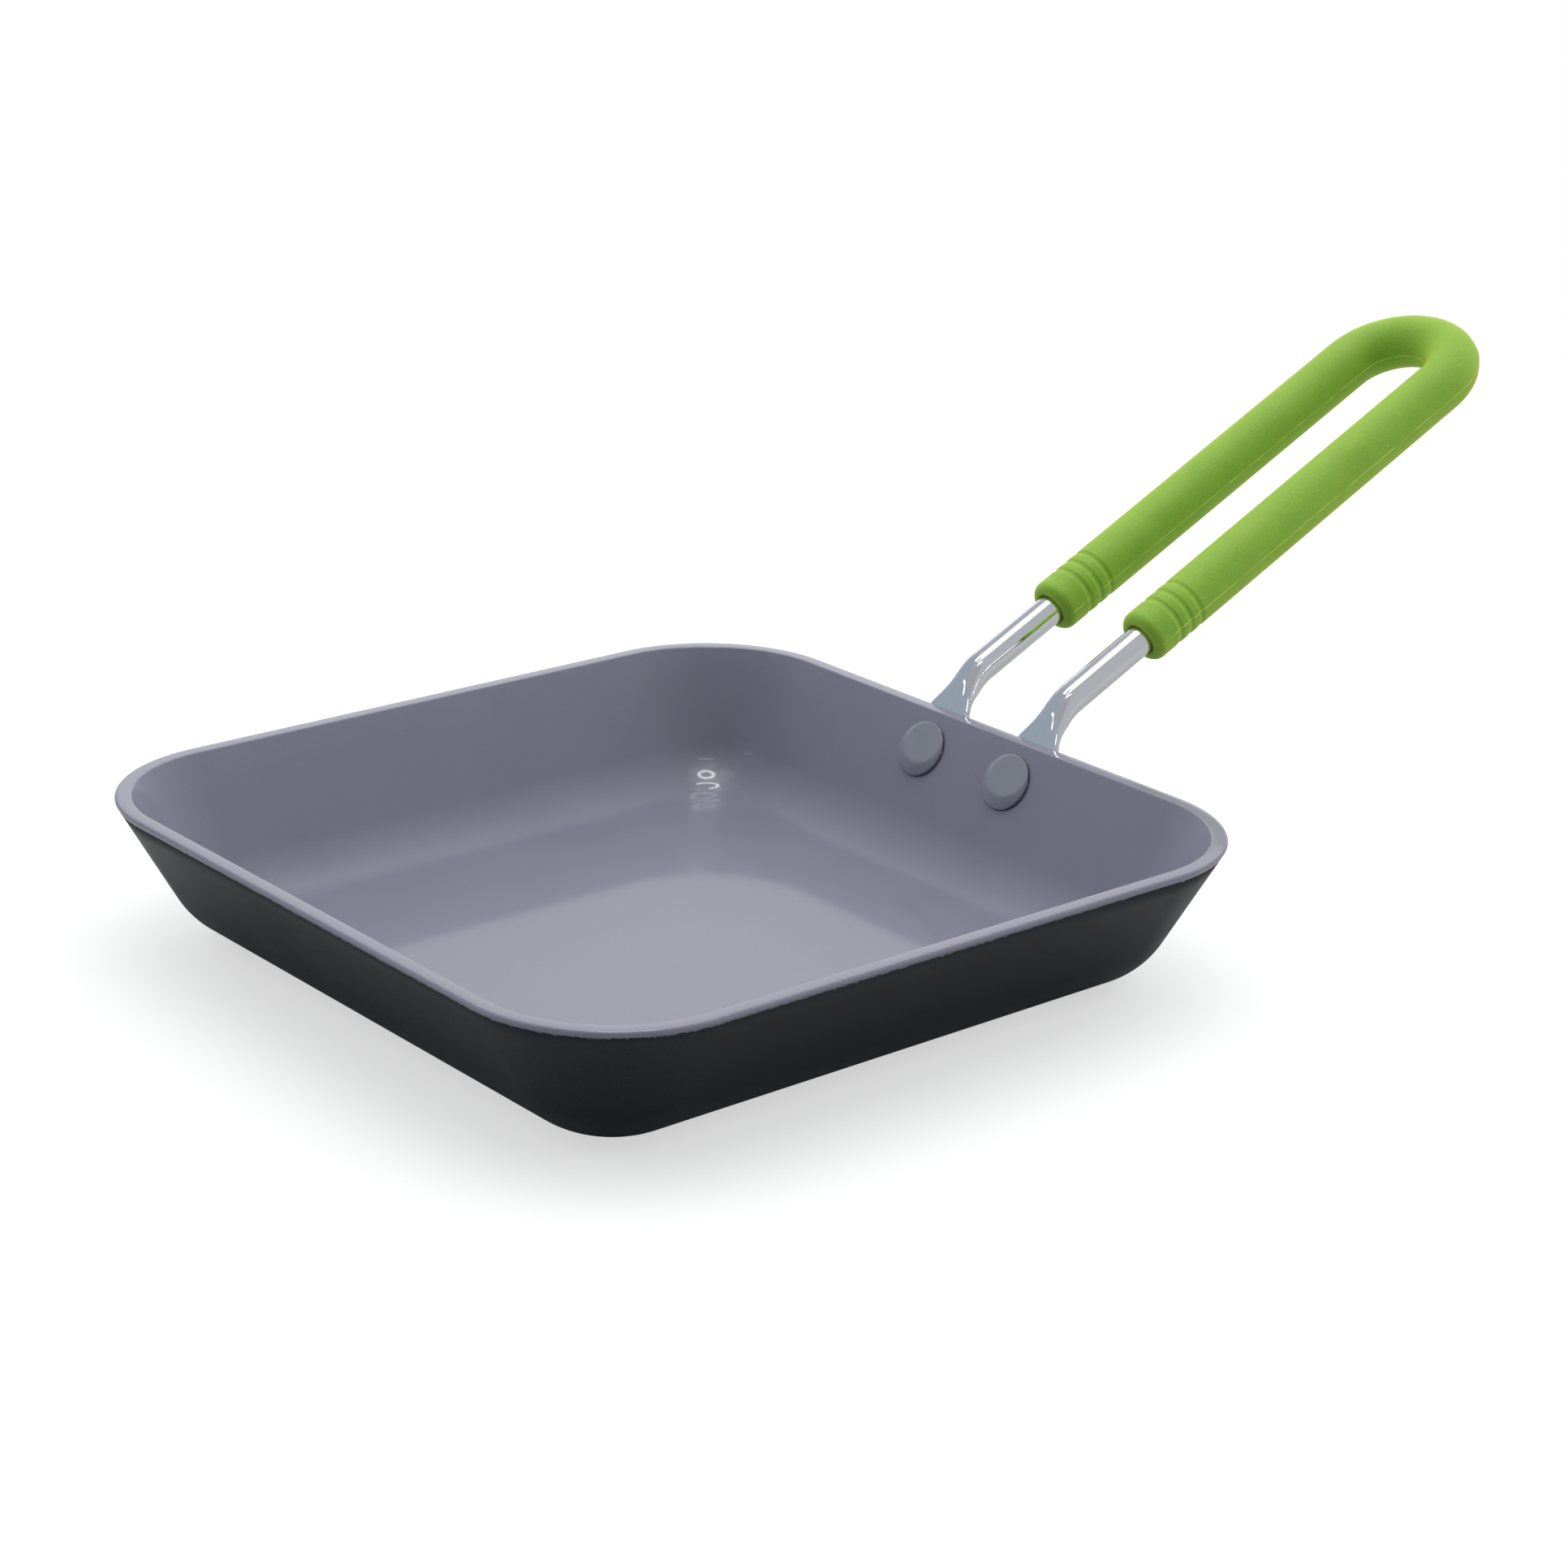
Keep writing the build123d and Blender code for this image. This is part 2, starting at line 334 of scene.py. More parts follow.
def neck_point(distance):
    """Centre of the right leg at a distance along it from the height of the rim, and its heading."""
    slope = wall_angle - min(max(distance, 0), neck_arc) / neck_bend_radius
    heading = Vector((0, cos(slope), sin(slope)))
    if distance <= 0:
        point = tab_centre + wall_up * distance
    elif distance >= neck_arc:
        point = neck_corner + handle_along * (neck_tangent + distance - neck_arc)
    else:
        bend_centre = tab_centre + wall_out * neck_bend_radius
        point = bend_centre - Vector((0, sin(slope), -cos(slope))) * neck_bend_radius
    return point + across * leg_x, heading


def neck_outline(centre, heading, half, full_height, shoulder):
    """Ring across a heading: an oval of four arcs whose crowns meet its side arcs at a shoulder angle."""
    top = across.cross(heading)
    up = sin(shoulder)
    out = cos(shoulder)
    crowned = out > flat_crown_limit
    if crowned:
        lean = (1 - up) / out
        side_radius = (full_height - lean * 2 * half) / 2 / (up - lean * (1 - out))
    else:
        side_radius = full_height / 2
    join_x = half - side_radius * (1 - out)
    side_middle = half - side_radius
    outline = []
    for turn, level in ((1, 0), (-1, pi)):
        start = level + shoulder
        side = arc((turn * side_middle, 0), side_radius, level - shoulder, start, oval_steps)[:-1]
        if crowned:
            crown_radius = join_x / out
            drop = full_height / 2 - crown_radius
            crown = arc((0, turn * drop), crown_radius, start, start + pi - 2 * shoulder, oval_steps)[:-1]
        else:
            shares = [1 - 2 * step / oval_steps for step in range(oval_steps)]
            crown = [(turn * join_x * share, turn * full_height / 2) for share in shares]
        outline += side + crown
    return [centre + across * away + top * height for away, height in outline]


def eased(distance, end):
    """Smooth step from 0 at the rim to 1 at a distance along the leg."""
    share = min(max(distance / end, 0), 1)
    return share * share * (3 - 2 * share)


def tab_half_width(distance):
    """Half width of the tab, which ends in rounded corners."""
    above_end = tab_end + distance
    half = tab_width / 2
    if above_end < tab_corner_radius:
        half -= tab_corner_radius - sqrt(tab_corner_radius ** 2 - (tab_corner_radius - above_end) ** 2)
    return half


def neck_ring(distance):
    """Ring of the right leg at a distance along it, from the flat tab to the full round."""
    full = tube_diameter / 2
    narrow = (1 - min(max(distance / neck_spread, 0), 1)) ** neck_narrowing
    half = full + (tab_half_width(distance) - full) * narrow
    above = eased(distance, neck_round_above)
    below = eased(distance, neck_round_below)
    rounding = (above + below) / 2
    height = tab_thickness + (tube_diameter - tab_thickness) * rounding
    centre, heading = neck_point(distance)
    centre += across.cross(heading) * ((tube_diameter - tab_thickness) * (above - below) / 4)
    shoulder = radians(flat_shoulder + (round_shoulder - flat_shoulder) * rounding)
    return neck_outline(centre, heading, half, height, shoulder)


def loop_ring(angle, leg_ring):
    """Last ring of the right leg carried around the end loop by an angle."""
    side = across * cos(angle) + handle_along * sin(angle)
    centre = loop_centre + across * (leg_x * cos(angle)) + handle_along * (leg_x * sin(angle))
    offsets = [point - loop_centre - across * leg_x for point in leg_ring]
    return [centre + side * offset.dot(across) + handle_top * offset.dot(handle_top) for offset in offsets]


def steps_between(start, run, steps):
    """Distances after a start, in equal steps up to the end of a run."""
    return [start + run * step / steps for step in range(1, steps + 1)]


corner_angles = [pi / 2 * step / tab_corner_steps for step in range(tab_corner_steps + 1)]
tab_marks = [max(tab_corner_radius * (1 - cos(angle)), tab_first_mark) for angle in corner_angles]
leg_run = leg_length - neck_tangent - (neck_round_above - neck_arc)
leg_stations = [-tab_end + mark for mark in tab_marks]
leg_stations += steps_between(-tab_end + tab_corner_radius, tab_end - tab_corner_radius, tab_steps)
leg_stations += steps_between(0, neck_round_above, neck_steps)
leg_stations += steps_between(neck_round_above, leg_run, leg_steps)
right_rings = [neck_ring(distance) for distance in leg_stations]
loop_rings = [loop_ring(pi * step / loop_steps, right_rings[-1]) for step in range(1, loop_steps)]
left_rings = [[Vector((-point.x, point.y, point.z)) for point in ring] for ring in reversed(right_rings)]
tube = make_piece("looped_tube", right_rings + loop_rings + left_rings)


# Skin of the grip sleeve, from the right mouth to the left one outside and back through the bore.
# It lies a little inside the solid, and the seam rises from it with an uneven height.
grip_inset = 0.02
grip_radius = grip_diameter / 2 - grip_inset
bore_radius = tube_diameter / 2 + grip_clearance
sleeve_length = 2 * grip_leg_length + pi * leg_x
seam_offsets = [0, 0.012, 0.024, 0.036, 0.052, 0.075, 0.11, 0.17]
sleeve_side_steps = 20
lip_steps = 8
groove_step = 0.12
outside_steps = 150
bore_steps = 90
groove_softness = 1.5
seam_half_width = 0.2
seam_low = 0.72
seam_wander = 0.28
wander_along = 0.9
wander_across = 3.7
seam_start = 0.6 * grip_lip_round
mouth_flare = [(0.0, 0.1), (0.12, 0.05), (0.4, 0.02), (1.6, 0.0)]


def seam_angles():
    """Angles around the sleeve, closer together at the two moulding seams."""
    last = seam_offsets[-1]
    angles = []
    for seam in (0, pi):
        angles += [seam + offset for offset in seam_offsets]
        for step in range(1, sleeve_side_steps):
            angles.append(seam + last + (pi - 2 * last) * step / sleeve_side_steps)
        angles += [seam + pi - offset for offset in reversed(seam_offsets[1:])]
    return angles


def groove_dip(leg):
    """Depth of the soft grooves at a distance from the centre of the loop."""
    dip = 0
    for number in range(groove_count):
        away = leg - (grip_leg_length - groove_offset - number * groove_pitch)
        dip += groove_depth * max(0, 1 - (2 * away / groove_width) ** 2) ** groove_softness
    return dip


def sleeve_ring(length, radius, seam=0):
    """Ring of the sleeve at a length along it from the right mouth, with its seams raised by a height."""
    if length < grip_leg_length:
        centre = loop_centre + across * leg_x - handle_along * (grip_leg_length - length)
        side = across
    elif length > sleeve_length - grip_leg_length:
        centre = loop_centre - across * leg_x - handle_along * (length - sleeve_length + grip_leg_length)
        side = -across
    else:
        angle = (length - grip_leg_length) / leg_x
        side = across * cos(angle) + handle_along * sin(angle)
        centre = loop_centre + side * leg_x
    points = []
    for angle in seam_angles():
        rise = 0
        if seam > 0:
            off = abs(sin(angle)) * radius
            wander = noise.noise(Vector((length * wander_along, wander_across * cos(angle), 0)))
            rise = seam * (seam_low + seam_wander * wander) * max(0, 1 - (off / seam_half_width) ** 2)
        reach = radius + rise
        points.append(centre + side * (reach * cos(angle)) + handle_top * (reach * sin(angle)))
    return points


def outside_marks():
    """Pairs of a length and a radius over the outside, from the right mouth to the left one."""
    lip = []
    for step in range(lip_steps + 1):
        angle = pi / 2 * step / lip_steps
        lip.append((grip_lip_round * (1 - cos(angle)), grip_radius - grip_lip_round * (1 - sin(angle))))
    grooved = groove_offset + groove_pitch * (groove_count - 1) + groove_width
    groove_steps = int((grooved - grip_lip_round) / groove_step)
    lengths = [grip_lip_round + groove_step * step for step in range(1, groove_steps + 1)]
    near = lip + [(length, grip_radius - groove_dip(grip_leg_length - length)) for length in lengths]
    start = lengths[-1]
    run = sleeve_length - 2 * start
    between = [(start + run * step / outside_steps, grip_radius) for step in range(1, outside_steps)]
    far = [(sleeve_length - length, radius) for length, radius in reversed(near)]
    return near + between + far


def bore_marks():
    """Pairs of a length and a radius through the bore, from the left mouth back to the right one."""
    straight_start = mouth_flare[-1][0]
    run = sleeve_length - 2 * straight_start
    marks = [(sleeve_length - depth, bore_radius + flare) for depth, flare in mouth_flare]
    marks += [(straight_start + run * (1 - step / bore_steps), bore_radius) for step in range(1, bore_steps)]
    return marks + [(depth, bore_radius + flare) for depth, flare in reversed(mouth_flare)]


sleeve_rings = []
for length, radius in outside_marks():
    from_mouth = min(length, sleeve_length - length)
    sleeve_rings.append(sleeve_ring(length, radius, seam_height if from_mouth > seam_start else 0))
sleeve_rings += [sleeve_ring(length, radius) for length, radius in bore_marks()]
sleeve = make_piece("soft_grip", sleeve_rings, looped=True)


# Skin of the rivets. The edges of the head and of its pressed face are soft.
rivet_edge_round = 0.25
rivet_face_softness = 0.025
rivet_collar_height = 0.3
rivet_steps = 64
rivet_centre_shares = (0.02, 0.2, 0.4, 0.5, 0.6)
rivet_slope_share = 0.34
rivet_slope_steps = 22
rivet_edge_steps = 6
rivet_tail_steps = 8
rivet_tail_shares = (0.6, 0.3, 0.02)


def make_rivet(name, x):
    """Rivet with a domed head pressed flat a little askew inside the pan, and a set tail outside."""
    base = rim_edge - wall_up * rivet_drop + across * x
    head_radius = rivet_head_diameter / 2
    dome_rise = rivet_crown_height - rivet_edge_height
    dome_radius = (head_radius ** 2 + dome_rise ** 2) / (2 * dome_rise)
    face_radius = rivet_face_diameter / 2
    face_distance = sqrt(dome_radius ** 2 - face_radius ** 2)
    shank_radius = rivet_shank_diameter / 2
    tail_radius = rivet_tail_diameter / 2
    dome_centre = sheet_thickness + rivet_crown_height - dome_radius

    def head_height(away, angle):
        """Height of the head over the wall's outer side, where the flat face blends into the dome."""
        dome = dome_centre + sqrt(dome_radius ** 2 - away ** 2)
        edge = head_radius - away
        if edge < rivet_edge_round:
            dome -= rivet_edge_round - sqrt(max(rivet_edge_round ** 2 - (rivet_edge_round - edge) ** 2, 0))
        upward = away * cos(angle - pi / 2 + rivet_face_turn)
        flat = dome_centre + (face_distance - upward * sin(rivet_face_tilt)) / cos(rivet_face_tilt)
        share = max(0, min(1, 0.5 + (dome - flat) / (2 * rivet_face_softness)))
        return dome * (1 - share) + flat * share - rivet_face_softness * share * (1 - share)

    def ring(away, height_of):
        points = []
        for step in range(rivet_steps):
            angle = 2 * pi * step / rivet_steps
            flat = across * (away * cos(angle)) + wall_up * (away * sin(angle))
            points.append(base + flat - wall_out * height_of(away, angle))
        return points

    def level_ring(away, height):
        return ring(away, lambda reach, angle: height)

    slope_start = rivet_centre_shares[-1]
    aways = [head_radius * share for share in rivet_centre_shares]
    for step in range(1, rivet_slope_steps + 1):
        aways.append(head_radius * (slope_start + rivet_slope_share * step / rivet_slope_steps))
    for step in range(1, rivet_edge_steps + 1):
        aways.append(head_radius - rivet_edge_round * (1 - sin(pi / 2 * step / rivet_edge_steps)))
    rings = [ring(away, head_height) for away in aways]
    rings += [
        level_ring(head_radius, sheet_thickness + rivet_collar_height),
        level_ring(head_radius, sheet_thickness),
        level_ring(shank_radius, sheet_thickness),
        level_ring(shank_radius, -tab_thickness),
        level_ring(tail_radius, -tab_thickness),
    ]
    top = tab_thickness + rivet_tail_height
    for step in range(rivet_tail_steps + 1):
        turn = pi / 2 * step / rivet_tail_steps
        away = tail_radius - rivet_tail_round * (1 - cos(turn))
        rings.append(level_ring(away, rivet_tail_round * (1 - sin(turn)) - top))
    rings += [level_ring(tail_radius * share, -top) for share in rivet_tail_shares]
    return make_piece(name, rings)


left_rivet = make_rivet("left_rivet", -rivet_x)
right_rivet = make_rivet("right_rivet", rivet_x)


# Materials. Sizes of their grains and depths of their bumps are in millimetres.
# Noise lies mostly between these two values.
noise_low = 0.3
noise_high = 0.7

# Share of the fine grain in the lining's bump
lining_grain_share = 0.25

# Colours of the speckled materials: the two that their patches lie between, and that of the specks
lining_greys = ((0.217, 0.215, 0.284), (0.229, 0.227, 0.298), (0.29, 0.29, 0.36))
coating_blacks = ((0.0034, 0.0038, 0.0052), (0.005, 0.0056, 0.0072), (0.034, 0.037, 0.044))
grip_greens = ((0.25, 0.497, 0.052), (0.284, 0.54, 0.06), (0.48, 0.66, 0.046))
rivet_greys = ((0.252, 0.268, 0.32), (0.262, 0.278, 0.33), (0.29, 0.30, 0.336))

# Chrome, with streaks drawn out along the legs
chrome_tints = ((0.76, 0.775, 0.80), (0.785, 0.795, 0.82))
streak_scale = (1, 0.12, 0.12)

# Ragged border of the lining's colour on the shell, with its heights in millimetres
lap_grey = (0.222, 0.220, 0.290)
lap_ragged_height = 1.1
lap_line = 0.42
lap_line_width = 0.12

# Line along the moulding seam: distances from the seam at which it is full and gone, and how noise breaks it
seam_green = (0.62, 0.77, 0.13)
seam_line_edges = (0.06, 0.15)
seam_line_share = 0.9
seam_gap_levels = (0.38, 0.6)
seam_gap_share = 0.2


def empty_material(name):
    """Material without a shader yet, its nodes, and the socket that takes its surface."""
    material = bpy.data.materials.new(name)
    material.use_nodes = True
    tree = material.node_tree
    tree.nodes.clear()
    out = tree.nodes.new("ShaderNodeOutputMaterial")
    return material, tree, out.inputs["Surface"]


def new_material(name):
    """Material of a piece, its nodes, its shader, and places on the piece."""
    material, tree, surface = empty_material(name)
    shader = tree.nodes.new("ShaderNodeBsdfPrincipled")
    tree.links.new(shader.outputs["BSDF"], surface)
    place = tree.nodes.new("ShaderNodeTexCoord")
    return material, tree, shader, place.outputs["Object"]


def set_inputs(node, values):
    for name, value in values.items():
        node.inputs[name].default_value = value


def noise_node(tree, place, size_mm, detail=2, rough=0.5):
    """Noise whose grains are about the given size."""
    node = tree.nodes.new("ShaderNodeTexNoise")
    set_inputs(node, {"Scale": 1 / (size_mm * MM), "Detail": detail, "Roughness": rough})
    tree.links.new(place, node.inputs["Vector"])
    return node.outputs["Fac"]


def ramp_node(tree, noise_value, first, second):
    """Colour that goes from the first to the second as the noise rises."""
    node = tree.nodes.new("ShaderNodeValToRGB")
    stops = zip(node.color_ramp.elements, (noise_low, noise_high), (first, second))
    for element, position, colour in stops:
        element.position = position
        element.color = (*colour, 1)
    tree.links.new(noise_value, node.inputs["Fac"])
    return node.outputs["Color"]


def range_node(tree, value, low, high, to_low, to_high):
    """Value mapped from one range to another, and held at its ends."""
    node = tree.nodes.new("ShaderNodeMapRange")
    set_inputs(node, {"From Min": low, "From Max": high, "To Min": to_low, "To Max": to_high})
    tree.links.new(value, node.inputs["Value"])
    return node.outputs["Result"]


def math_node(tree, operation, first, second=0):
    node = tree.nodes.new("ShaderNodeMath")
    node.operation = operation
    for socket, value in zip(node.inputs, (first, second)):
        if isinstance(value, (int, float)):
            socket.default_value = value
        else:
            tree.links.new(value, socket)
    return node.outputs["Value"]


def mix_node(tree, share, first, second):
    """Mix of two colours, which are sockets 6 and 7 of the node, with the result in its output 2."""
    node = tree.nodes.new("ShaderNodeMix")
    node.data_type = "RGBA"
    tree.links.new(share, node.inputs["Factor"])
    for socket, value in ((node.inputs[6], first), (node.inputs[7], second)):
        if isinstance(value, tuple):
            socket.default_value = (*value, 1)
        else:
            tree.links.new(value, socket)
    return node.outputs[2]


def dusted_node(tree, patch, grain, colours, start, full, most):
    """Colour in patches, with specks that set in where the grain is start, and are at their most at full."""
    first, second, dust = colours
    share = range_node(tree, grain, start, full, 0, most)
    return mix_node(tree, share, ramp_node(tree, patch, first, second), dust)


def vary_roughness(tree, shader, noise_value, low, high):
    rough = range_node(tree, noise_value, noise_low, noise_high, low, high)
    tree.links.new(rough, shader.inputs["Roughness"])


def add_bump(tree, shader, height, depth_mm):
    node = tree.nodes.new("ShaderNodeBump")
    set_inputs(node, {"Strength": 1.0, "Distance": depth_mm * MM})
    tree.links.new(height, node.inputs["Height"])
    tree.links.new(node.outputs["Normal"], shader.inputs["Normal"])


def level_of(tree, place):
    """Height of a place above the table, in metres."""
    node = tree.nodes.new("ShaderNodeSeparateXYZ")
    tree.links.new(place, node.inputs["Vector"])
    return node.outputs["Z"]


def offset_along(tree, place, direction):
    """How far a place lies along a direction, or the cosine between two directions."""
    node = tree.nodes.new("ShaderNodeVectorMath")
    node.operation = "DOT_PRODUCT"
    node.inputs[1].default_value = direction
    tree.links.new(place, node.inputs[0])
    return node.outputs["Value"]


def ceramic_material():
    material, tree, shader, place = new_material("grey_ceramic")
    mottle = noise_node(tree, place, size_mm=16, detail=3)
    grain = noise_node(tree, place, size_mm=0.35, rough=0.6)
    colour = dusted_node(tree, mottle, grain, lining_greys, start=0.56, full=0.75, most=0.25)
    tree.links.new(colour, shader.inputs["Base Color"])
    vary_roughness(tree, shader, mottle, low=0.36, high=0.42)
    set_inputs(shader, {"IOR": 1.5, "Specular IOR Level": 0.3, "Coat Weight": 0.6, "Coat Roughness": 0.08})
    peel = noise_node(tree, place, size_mm=1.4)
    fine = math_node(tree, "MULTIPLY", grain, lining_grain_share)
    add_bump(tree, shader, math_node(tree, "ADD", peel, fine), depth_mm=0.012)
    return material


def shell_material():
    """Dark coating with light specks, and the ragged border of the lining near the rim."""
    material, tree, shader, place = new_material("black_coating")
    grain = noise_node(tree, place, size_mm=0.28, rough=0.7)
    patch = noise_node(tree, place, size_mm=14)
    dusted = dusted_node(tree, patch, grain, coating_blacks, start=0.60, full=0.74, most=1)
    ragged = noise_node(tree, place, size_mm=0.8, detail=3, rough=0.7)
    wander = math_node(tree, "MULTIPLY", ragged, lap_ragged_height * MM)
    edge = math_node(tree, "ADD", level_of(tree, place), wander)
    line = (lap_height + lap_line) * MM
    lapped = range_node(tree, edge, line, line + lap_line_width * MM, 0, 1)
    colour = mix_node(tree, lapped, dusted, lap_grey)
    tree.links.new(colour, shader.inputs["Base Color"])
    vary_roughness(tree, shader, patch, low=0.34, high=0.42)
    set_inputs(shader, {"Specular IOR Level": 0.48, "Specular Tint": (0.74, 0.90, 1.0, 1)})
    add_bump(tree, shader, grain, depth_mm=0.02)
    return material


def chrome_material():
    material, tree, shader, place = new_material("chrome_plating")
    stretch = tree.nodes.new("ShaderNodeMapping")
    stretch.inputs["Scale"].default_value = streak_scale
    tree.links.new(place, stretch.inputs["Vector"])
    streak = noise_node(tree, stretch.outputs["Vector"], size_mm=0.5)
    wave = noise_node(tree, place, size_mm=1.6)
    tree.links.new(ramp_node(tree, streak, *chrome_tints), shader.inputs["Base Color"])
    set_inputs(shader, {"Metallic": 1})
    vary_roughness(tree, shader, streak, low=0.04, high=0.08)
    add_bump(tree, shader, wave, depth_mm=0.0025)
    return material


def silicone_material():
    """Matt silicone with fine light specks and a lighter, broken line along the moulding seam."""
    material, tree, shader, place = new_material("green_silicone")
    grain = noise_node(tree, place, size_mm=0.26, rough=0.7)
    patch = noise_node(tree, place, size_mm=7)
    dusted = dusted_node(tree, patch, grain, grip_greens, start=0.54, full=0.70, most=0.85)
    seam_level = handle_top.dot(loop_centre) * MM
    off_seam = math_node(tree, "SUBTRACT", offset_along(tree, place, handle_top), seam_level)
    away = math_node(tree, "ABSOLUTE", off_seam)
    line = range_node(tree, away, *(edge * MM for edge in seam_line_edges), seam_line_share, 0)
    gaps = noise_node(tree, place, size_mm=2.6)
    broken = range_node(tree, gaps, *seam_gap_levels, seam_gap_share, 1)
    colour = mix_node(tree, math_node(tree, "MULTIPLY", line, broken), dusted, seam_green)
    tree.links.new(colour, shader.inputs["Base Color"])
    vary_roughness(tree, shader, grain, low=0.52, high=0.64)
    set_inputs(shader, {
        "Specular IOR Level": 0.2,
        "Subsurface Weight": 0.2,
        "Subsurface Radius": (0.0012, 0.0018, 0.0004),
        "Sheen Weight": 0.45,
        "Sheen Roughness": 0.45,
        "Sheen Tint": (1.0, 0.9, 0.12, 1),
    })
    add_bump(tree, shader, grain, depth_mm=0.03)
    return material


def rivet_material():
    material, tree, shader, place = new_material("coated_rivet")
    patch = noise_node(tree, place, size_mm=2.5)
    grain = noise_node(tree, place, size_mm=0.3, rough=0.6)
    colour = dusted_node(tree, patch, grain, rivet_greys, start=0.58, full=0.76, most=0.25)
    tree.links.new(colour, shader.inputs["Base Color"])
    vary_roughness(tree, shader, patch, low=0.29, high=0.32)
    set_inputs(shader, {"Coat Weight": 0.2, "Coat Roughness": 0.08})
    add_bump(tree, shader, grain, depth_mm=0.003)
    return material


ceramic = ceramic_material()
coating = shell_material()
chrome = chrome_material()
silicone = silicone_material()
rivet_coat = rivet_material()

for piece, material, node, slot in (
    (lining, ceramic, "interior_lining", "grey_ceramic"),
    (shell, coating, "pan_body", "black_enamel"),
    (tube, chrome, "handle_tube", "chromed_tube"),
    (sleeve, silicone, "grip_sleeve", "green_silicone"),
    (left_rivet, rivet_coat, "rivet_left", "coated_rivet"),
    (right_rivet, rivet_coat, "rivet_right", "coated_rivet"),
):
    piece.data.materials.append(material)
    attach(piece, "root")
    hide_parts(node)


# Studio: a white floor that keeps the shadow, soft light from around with a dark side towards the camera,
# surroundings that only glossy reflections see, and lamps overhead. Places here are in metres.
white = (1, 1, 1)
floor_half = 3.0
floor_level = -0.00002
floor_middle = (0, 0.03, 0)
floor_fade_start = 0.16
floor_fade_end = 0.42
floor_seen_grey = 0.5
floor_seen_glow = 0.59
floor_lit_grey = 0.52
floor_lit_glow = 0.56

# Directions of the surroundings, each with the cosines from which it fades in and at which it is full
blue_side = ((-0.60, -0.70, 0.35), 0.3, 0.9)
backdrop_side = ((-0.70, 0.68, 0.18), 0.86, 0.97)
camera_side = ((0.62, -0.62, 0.35), 0.3, 0.9)
dark_side = ((0.53, -0.57, 0.60), 0.80, 0.95)
plain_walls = (0.52, 0.53, 0.56)
blue_walls = (0.365, 0.425, 0.49)
backdrop_white = (1.18, 1.18, 1.18)
dark_walls = (0.42, 0.42, 0.43)
soft_light = (1.34, 1.36, 1.38)
soft_shade = (0.01, 0.01, 0.01)
soft_strength = 1.02

# Lamps. A face a layer lower hides what is above it.
lamp_height = 1.0
lamp_layer = 0.01
ring_steps = 60
disc_steps = 40
disc_radiance = 0.6
frame_width = 0.05
frame_radiance = 0.36


def emission_node(tree, strength):
    node = tree.nodes.new("ShaderNodeEmission")
    set_inputs(node, {"Color": (*white, 1), "Strength": strength})
    return node.outputs["Emission"]


def diffuse_node(tree, grey):
    node = tree.nodes.new("ShaderNodeBsdfDiffuse")
    node.inputs["Color"].default_value = (grey, grey, grey, 1)
    return node.outputs["BSDF"]


def mix_shader(tree, share, first, second):
    node = tree.nodes.new("ShaderNodeMixShader")
    tree.links.new(share, node.inputs["Fac"])
    tree.links.new(first, node.inputs[1])
    tree.links.new(second, node.inputs[2])
    return node.outputs["Shader"]


def add_sheet(name, faces):
    """Flat piece of the studio from the corners of its faces in metres."""
    mesh = bmesh.new()
    for corners in faces:
        mesh.faces.new([mesh.verts.new(corner) for corner in corners])
    piece = add_object(name, mesh)
    return piece


def add_floor():
    """White floor that fades to plain white far out, and that is clear when seen from below."""
    signs = ((-1, -1), (1, -1), (1, 1), (-1, 1))
    floor = add_sheet("studio_floor", [[(x * floor_half, y * floor_half, floor_level) for x, y in signs]])
    material, tree, surface = empty_material("white_floor")
    path = tree.nodes.new("ShaderNodeLightPath")
    place = tree.nodes.new("ShaderNodeTexCoord")
    shape = tree.nodes.new("ShaderNodeNewGeometry")
    middle = tree.nodes.new("ShaderNodeVectorMath")
    middle.operation = "DISTANCE"
    middle.inputs[1].default_value = floor_middle
    tree.links.new(place.outputs["Object"], middle.inputs[0])
    far = range_node(tree, middle.outputs["Value"], floor_fade_start, floor_fade_end, 0, 1)
    shadowed = tree.nodes.new("ShaderNodeAddShader")
    tree.links.new(diffuse_node(tree, floor_seen_grey), shadowed.inputs[0])
    tree.links.new(emission_node(tree, floor_seen_glow), shadowed.inputs[1])
    seen = mix_shader(tree, far, shadowed.outputs["Shader"], emission_node(tree, 1.0))
    lit = mix_shader(tree, far, diffuse_node(tree, floor_lit_grey), emission_node(tree, floor_lit_glow))
    above = mix_shader(tree, path.outputs["Is Camera Ray"], lit, seen)
    clear = tree.nodes.new("ShaderNodeBsdfTransparent")
    tree.links.new(mix_shader(tree, shape.outputs["Backfacing"], above, clear.outputs["BSDF"]), surface)
    floor.data.materials.append(material)


def direction_share(tree, place, heading, low, high):
    """How far a direction leans to a heading, from 0 at the low cosine to 1 at the high one."""
    smooth = tree.nodes.new("ShaderNodeMapRange")
    smooth.interpolation_type = "SMOOTHSTEP"
    set_inputs(smooth, {"From Min": low, "From Max": high})
    tree.links.new(offset_along(tree, place, Vector(heading).normalized()), smooth.inputs["Value"])
    return smooth.outputs["Result"]


def background_node(tree, colour, strength=1.0):
    node = tree.nodes.new("ShaderNodeBackground")
    if isinstance(colour, tuple):
        node.inputs["Color"].default_value = (*colour, 1)
    else:
        tree.links.new(colour, node.inputs["Color"])
    node.inputs["Strength"].default_value = strength
    return node.outputs["Background"]


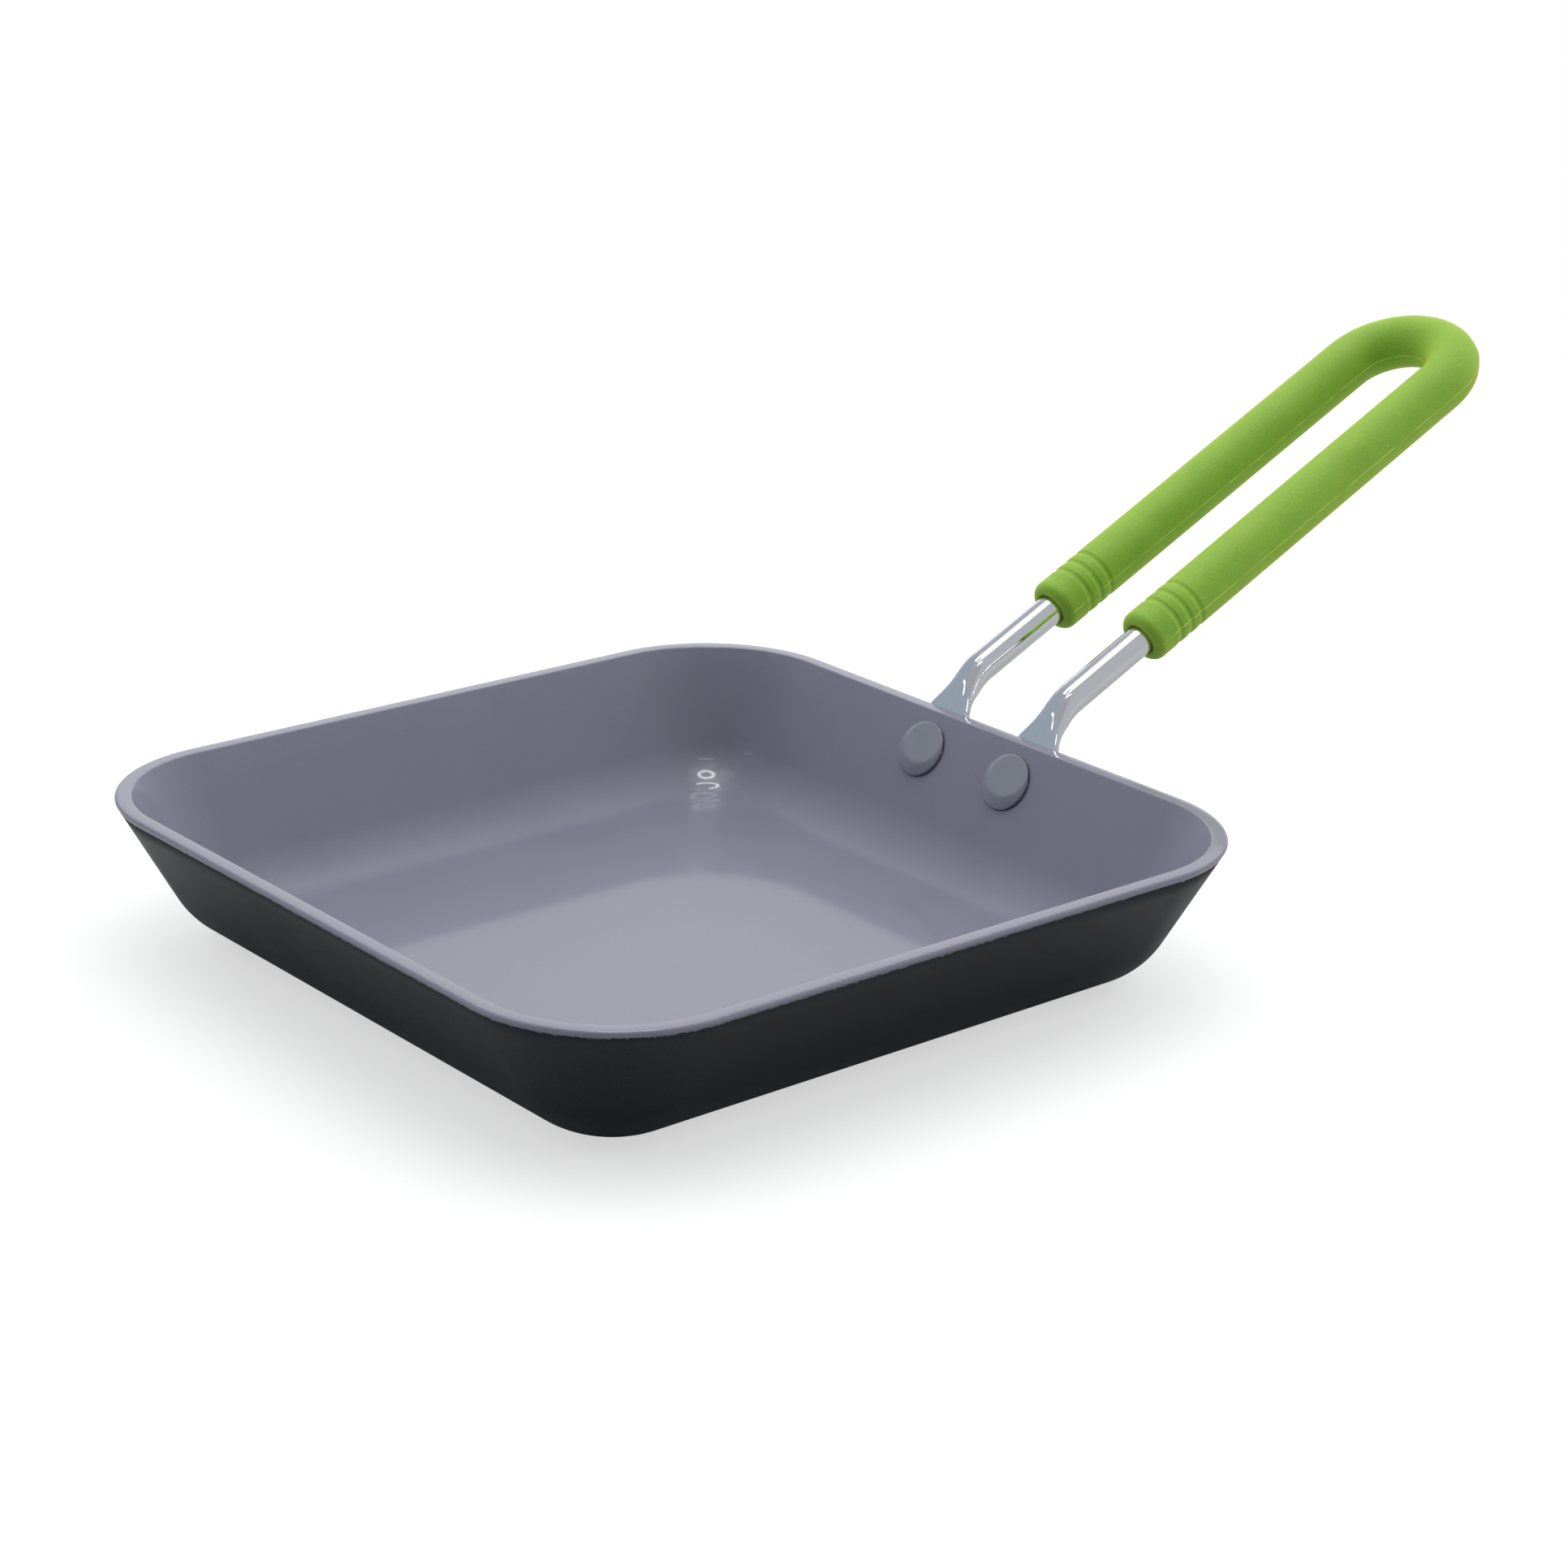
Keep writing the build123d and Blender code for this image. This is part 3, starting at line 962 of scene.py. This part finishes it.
def add_world():
    """Surroundings: white to the camera, walls and a backdrop to glossy rays, and soft light to others."""
    world = bpy.data.worlds.new("studio")
    bpy.context.scene.world = world
    world.use_nodes = True
    tree = world.node_tree
    tree.nodes.clear()
    out = tree.nodes.new("ShaderNodeOutputWorld")
    path = tree.nodes.new("ShaderNodeLightPath")
    coordinates = tree.nodes.new("ShaderNodeTexCoord")
    place = coordinates.outputs["Generated"]
    walls = mix_node(tree, direction_share(tree, place, *blue_side), plain_walls, blue_walls)
    lit = mix_node(tree, direction_share(tree, place, *backdrop_side), walls, backdrop_white)
    dimmed = mix_node(tree, direction_share(tree, place, *dark_side), lit, dark_walls)
    around = background_node(tree, dimmed)
    shaded = mix_node(tree, direction_share(tree, place, *camera_side), soft_light, soft_shade)
    soft = background_node(tree, shaded, soft_strength)
    other = mix_shader(tree, path.outputs["Is Glossy Ray"], soft, around)
    eye = mix_shader(tree, path.outputs["Is Camera Ray"], other, background_node(tree, white))
    tree.links.new(eye, out.inputs["Surface"])


def add_softbox(name, low, high, radiance):
    """Area lamp overhead, given by two corners. Reflections show the lamp faces instead of it."""
    width = high[0] - low[0]
    depth = high[1] - low[1]
    data = bpy.data.lights.new(name, "AREA")
    data.shape = "RECTANGLE"
    data.size = width
    data.size_y = depth
    data.energy = radiance * pi * width * depth
    lamp = bpy.data.objects.new(name, data)
    lamp.location = ((low[0] + high[0]) / 2, (low[1] + high[1]) / 2, lamp_height)
    lamp.visible_glossy = False
    bpy.context.collection.objects.link(lamp)


def add_lamp_face(name, faces, layer, radiance):
    """Flat lamp face that only reflections show, given by corners and by its layer below the lamp height."""
    height = lamp_height - layer * lamp_layer
    face = add_sheet(name, [[(x, y, height) for x, y in corners] for corners in faces])
    face.visible_camera = False
    face.visible_shadow = False
    face.visible_diffuse = False
    material, tree, surface = empty_material(name)
    tree.links.new(emission_node(tree, radiance), surface)
    face.data.materials.append(material)


def band(first, second):
    """Faces between two rows of points."""
    edges = list(zip(first, second))
    return [(low[0], high[0], high[1], low[1]) for low, high in zip(edges, edges[1:])]


def add_ring_lamp(name, middle, reach, hole, start, end, radiance):
    """Ring lamp overhead around a dim disc, given by its centre, two radii and the angles that it spans."""
    outer = arc(middle, reach, start, end, ring_steps)
    inner = arc(middle, hole, start, end, ring_steps)
    add_lamp_face(name, band(outer, inner), 1, radiance)
    add_lamp_face(name + "_middle", [arc(middle, hole, 0, 2 * pi, disc_steps)[:-1]], 0.5, disc_radiance)


def add_strip_lamp(name, start, end, width, radiance):
    """Narrow straight lamp face overhead, given by the ends of its middle line."""
    along = (Vector(end) - Vector(start)).normalized()
    aside = Vector((-along.y, along.x)) * (width / 2)
    left = [tuple(Vector(point) + aside) for point in (start, end)]
    right = [tuple(Vector(point) - aside) for point in (start, end)]
    add_lamp_face(name, band(left, right), 1, radiance)


def add_panel_lamp(name, low, high, radiance):
    """Flat softbox overhead with a dim frame, given by two corners."""
    for part, grow, layer, level in (("frame", frame_width, -1, frame_radiance), ("face", 0, 0, radiance)):
        corners = (
            (low[0] - grow, low[1] - grow),
            (high[0] + grow, low[1] - grow),
            (high[0] + grow, high[1] + grow),
            (low[0] - grow, high[1] + grow),
        )
        add_lamp_face(name + "_" + part, [corners], layer, level)


add_floor()
add_world()
add_softbox("softbox_over", (-0.45, -0.40), (0.45, 0.80), 0.6)
add_panel_lamp("panel_left", (-0.44, -0.25), (-0.07, 0.30), 1.25)
add_panel_lamp("panel_right", (0.03, -0.25), (0.24, 0.30), 1.1)
add_ring_lamp("ring_front", (-0.06, 0.14), 0.15, 0.088, 0, 2 * pi, 16.0)
add_ring_lamp("ring_rear", (-0.43, 0.40), 0.165, 0.115, radians(150), radians(400), 14.0)
add_strip_lamp("strip_side", (-0.63, -1.13), (-0.25, -1.07), 0.08, 2.2)
add_strip_lamp("strip_near", (0.27, -0.30), (0.46, -0.03), 0.03, 7.0)

bpy.context.scene.view_settings.view_transform = "Standard"
